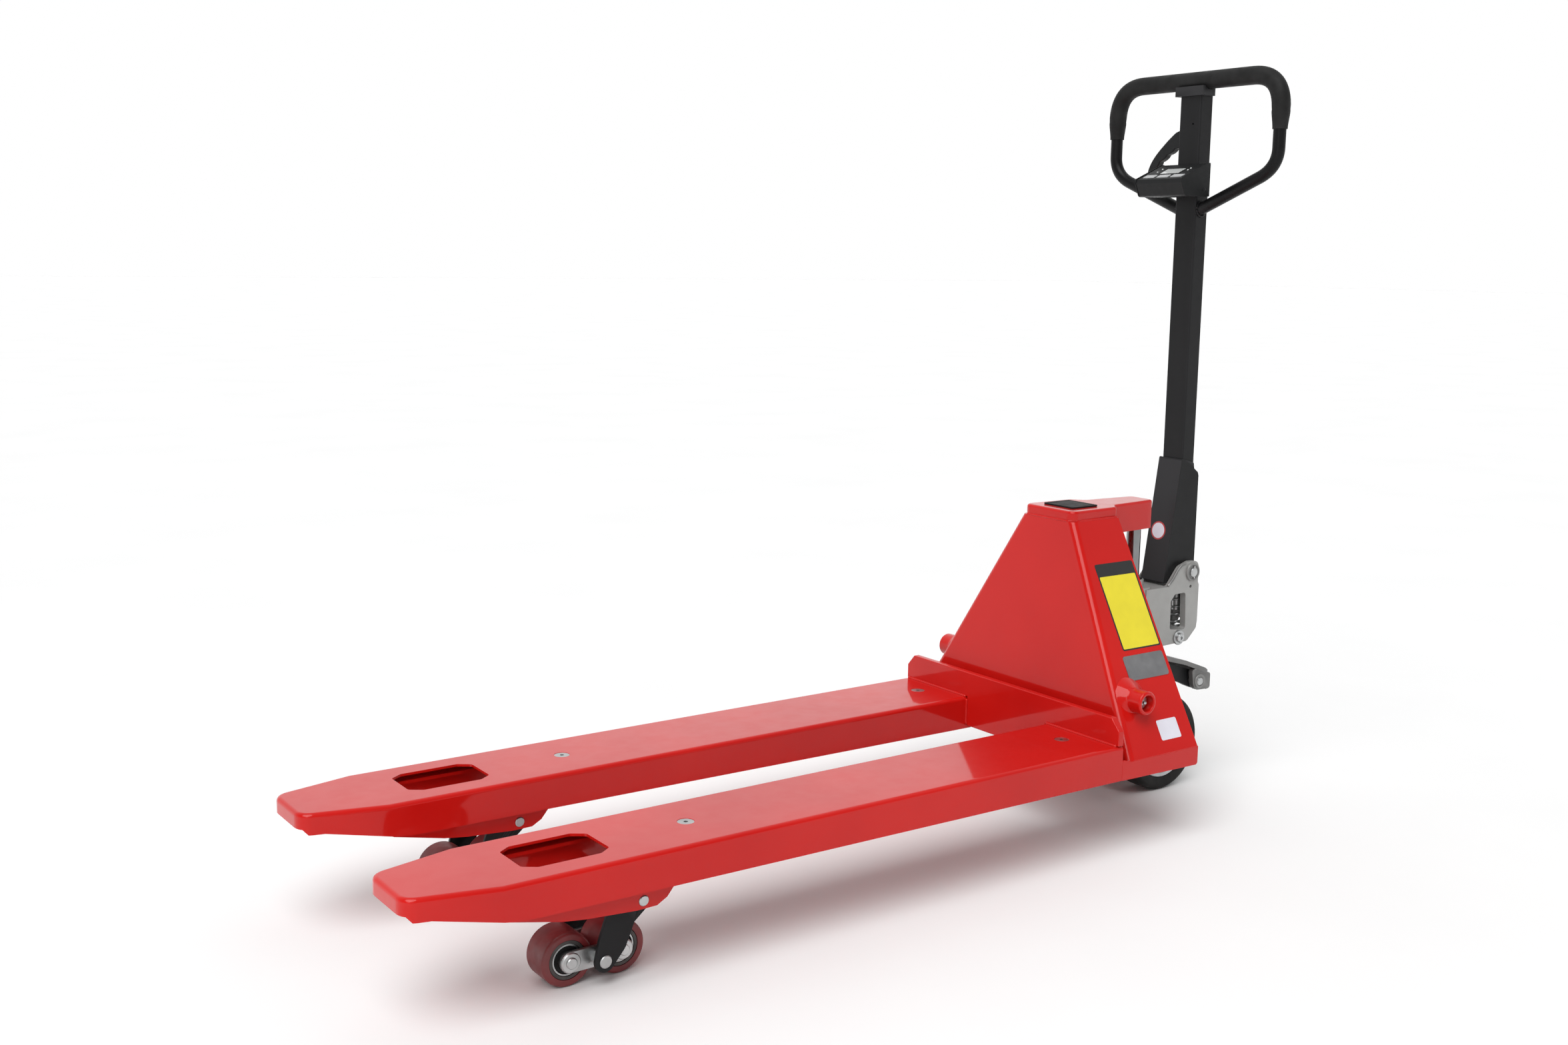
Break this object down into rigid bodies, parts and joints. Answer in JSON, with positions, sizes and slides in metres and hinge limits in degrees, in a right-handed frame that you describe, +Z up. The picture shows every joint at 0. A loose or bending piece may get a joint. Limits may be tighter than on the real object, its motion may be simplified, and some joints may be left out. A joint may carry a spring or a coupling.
{
  "type": "weighing hand pallet truck",
  "caption": "Hand pallet truck with weighing forks, a hydraulic pump on steering wheels, tandem load rollers, loop handle and indicator, shown raised.",
  "frame": {"origin": "middle of the overall length and width, on the floor", "axes": "+X to the fork tips, +Y to the left when walking forwards from the handle, +Z up"},
  "size_m": [1.693, 0.54, 1.3105],
  "materials": {
    "red_paint": "gloss",
    "zinc_plate": "satin",
    "black_coat": "satin",
    "black_plastic": "satin",
    "black_rubber": "matte",
    "tyre_rubber": "matte",
    "roller_tread": "satin",
    "roller_hub": "satin",
    "cast_grey": "satin",
    "wheel_hub": "satin",
    "chrome_rod": "polished",
    "screen": "gloss",
    "key_grey": "matte"
  },
  "bodies": {
    "chassis": {"fork_shell_left": "red_paint", "fork_shell_right": "red_paint", "load_cell_left_rear": "zinc_plate", "load_cell_left_front": "zinc_plate", "load_cell_right_rear": "zinc_plate", "load_cell_right_front": "zinc_plate", "heel_plate": "red_paint", "fork_rail_left": "red_paint", "fork_rail_right": "red_paint", "load_fork_pin_left": "zinc_plate", "load_fork_pin_right": "zinc_plate", "tower": "red_paint", "head_bracket": "red_paint", "head_pad": "black_rubber", "rocker_shaft": "zinc_plate", "ram": "chrome_rod"},
    "pump_carriage": {"thrust_plate": "cast_grey", "rocker_pin": "zinc_plate", "thrust_bearing": "zinc_plate"},
    "steering": {"pump_body": "cast_grey", "pump_screw": "zinc_plate", "steering_column": "cast_grey", "steering_axle": "zinc_plate", "handle_pin_left": "zinc_plate", "handle_pin_right": "zinc_plate"},
    "wheel_left": {"steer_tyre_left": "tyre_rubber", "steer_hub_left": "wheel_hub"},
    "wheel_right": {"steer_tyre_right": "tyre_rubber", "steer_hub_right": "wheel_hub"},
    "plunger_unit": {"plunger": "zinc_plate", "plunger_spring": "zinc_plate"},
    "release_valve": {"release_lever": "cast_grey"},
    "handle": {"handle_clevis": "black_coat", "presser_roller": "zinc_plate", "mast": "black_coat", "grip_loop": "black_coat", "grip_sleeve": "black_rubber", "indicator_housing": "black_plastic", "indicator_screen": "screen", "trigger_pin": "zinc_plate"},
    "trigger_lever": {"release_trigger": "black_plastic"},
    "key_left": {"indicator_key_left": "key_grey"},
    "key_middle": {"indicator_key_middle": "key_grey"},
    "key_right": {"indicator_key_right": "key_grey"},
    "rocker": {"rocker_arm": "black_coat"},
    "rod_left": {"push_rod_left": "zinc_plate"},
    "load_arm_left": {"load_fork_left": "black_coat"},
    "tandem_left": {"bogie_left": "zinc_plate"},
    "roller_left_front": {"roller_tread_left_front": "roller_tread", "roller_hub_left_front": "roller_hub"},
    "roller_left_rear": {"roller_tread_left_rear": "roller_tread", "roller_hub_left_rear": "roller_hub"},
    "rod_right": {"push_rod_right": "zinc_plate"},
    "load_arm_right": {"load_fork_right": "black_coat"},
    "tandem_right": {"bogie_right": "zinc_plate"},
    "roller_right_front": {"roller_tread_right_front": "roller_tread", "roller_hub_right_front": "roller_hub"},
    "roller_right_rear": {"roller_tread_right_rear": "roller_tread", "roller_hub_right_rear": "roller_hub"}
  },
  "joints": [
    {"name": "lift", "type": "slide", "parent": "chassis", "child": "pump_carriage", "axis": [0, 0, 1], "range_m": [0, 0.092]},
    {"name": "steer", "type": "hinge", "parent": "pump_carriage", "child": "steering", "pos_m": [-0.6835, 0, 0], "axis": [0, 0, 1], "range_deg": [-90, 90]},
    {"name": "wheel_spin_left", "type": "hinge", "parent": "steering", "child": "wheel_left", "pos_m": [-0.7105, 0.05, 0.09], "axis": [0, 1, 0], "continuous": true},
    {"name": "wheel_spin_right", "type": "hinge", "parent": "steering", "child": "wheel_right", "pos_m": [-0.7105, -0.05, 0.09], "axis": [0, 1, 0], "continuous": true},
    {"name": "handle_tilt", "type": "hinge", "parent": "steering", "child": "handle", "pos_m": [-0.8055, 0, 0.3975], "axis": [0, -1, 0], "range_deg": [0, 80], "stiffness_Nm_per_rad": 40, "springref_deg": -17.19},
    {"name": "plunger_stroke", "type": "slide", "parent": "steering", "child": "plunger_unit", "axis": [0, 0, -1], "range_m": [0, 0.027], "deforming": ["plunger_spring"]},
    {"name": "release_valve_turn", "type": "hinge", "parent": "steering", "child": "release_valve", "pos_m": [-0.8345, 0, 0.341], "axis": [0, 1, 0], "range_deg": [-8, 12]},
    {"name": "trigger_pull", "type": "hinge", "parent": "handle", "child": "trigger_lever", "pos_m": [-0.7925, -0.011, 1.196], "axis": [-1, 0, 0], "range_deg": [-8, 20], "stiffness_Nm_per_rad": 2},
    {"name": "key_press_left", "type": "slide", "parent": "handle", "child": "key_left", "axis": [-0.3956, 0, -0.9184], "range_m": [0, 0.001], "stiffness_N_per_m": 400},
    {"name": "key_press_middle", "type": "slide", "parent": "handle", "child": "key_middle", "axis": [-0.3956, 0, -0.9184], "range_m": [0, 0.001], "stiffness_N_per_m": 400},
    {"name": "key_press_right", "type": "slide", "parent": "handle", "child": "key_right", "axis": [-0.3956, 0, -0.9184], "range_m": [0, 0.001], "stiffness_N_per_m": 400},
    {"name": "rocker_turn", "type": "hinge", "parent": "chassis", "child": "rocker", "pos_m": [-0.4585, 0, 0.244], "axis": [0, 1, 0], "range_deg": [0, 15]},
    {"name": "rod_push_left", "type": "slide", "parent": "chassis", "child": "rod_left", "axis": [1, 0, 0], "range_m": [-0.028, 0]},
    {"name": "load_fork_turn_left", "type": "hinge", "parent": "chassis", "child": "load_arm_left", "pos_m": [0.5111, 0.1855, 0.116], "axis": [0, -1, 0], "range_deg": [0, 65]},
    {"name": "bogie_turn_left", "type": "hinge", "parent": "load_arm_left", "child": "tandem_left", "pos_m": [0.5635, 0.1855, 0.038], "axis": [0, 1, 0], "range_deg": [0, 65]},
    {"name": "roller_spin_left_front", "type": "hinge", "parent": "tandem_left", "child": "roller_left_front", "pos_m": [0.6035, 0.1855, 0.038], "axis": [0, 1, 0], "continuous": true},
    {"name": "roller_spin_left_rear", "type": "hinge", "parent": "tandem_left", "child": "roller_left_rear", "pos_m": [0.5235, 0.1855, 0.038], "axis": [0, 1, 0], "continuous": true},
    {"name": "rod_push_right", "type": "slide", "parent": "chassis", "child": "rod_right", "axis": [1, 0, 0], "range_m": [-0.028, 0]},
    {"name": "load_fork_turn_right", "type": "hinge", "parent": "chassis", "child": "load_arm_right", "pos_m": [0.5111, -0.1855, 0.116], "axis": [0, -1, 0], "range_deg": [0, 65]},
    {"name": "bogie_turn_right", "type": "hinge", "parent": "load_arm_right", "child": "tandem_right", "pos_m": [0.5635, -0.1855, 0.038], "axis": [0, 1, 0], "range_deg": [0, 65]},
    {"name": "roller_spin_right_front", "type": "hinge", "parent": "tandem_right", "child": "roller_right_front", "pos_m": [0.6035, -0.1855, 0.038], "axis": [0, 1, 0], "continuous": true},
    {"name": "roller_spin_right_rear", "type": "hinge", "parent": "tandem_right", "child": "roller_right_rear", "pos_m": [0.5235, -0.1855, 0.038], "axis": [0, 1, 0], "continuous": true}
  ],
  "couplings": [
    {"joint": "plunger_stroke", "follows": "handle_tilt", "m_per_rad": 0.019},
    {"joint": "release_valve_turn", "follows": "trigger_pull", "ratio": 0.5},
    {"joint": "rocker_turn", "follows": "lift", "rad_per_m": 2.7868},
    {"joint": "rod_push_left", "follows": "lift", "ratio": -0.2957},
    {"joint": "load_fork_turn_left", "follows": "lift", "rad_per_m": 12.274},
    {"joint": "bogie_turn_left", "follows": "lift", "rad_per_m": 12.274},
    {"joint": "rod_push_right", "follows": "lift", "ratio": -0.2957},
    {"joint": "load_fork_turn_right", "follows": "lift", "rad_per_m": 12.274},
    {"joint": "bogie_turn_right", "follows": "lift", "rad_per_m": 12.274}
  ]
}
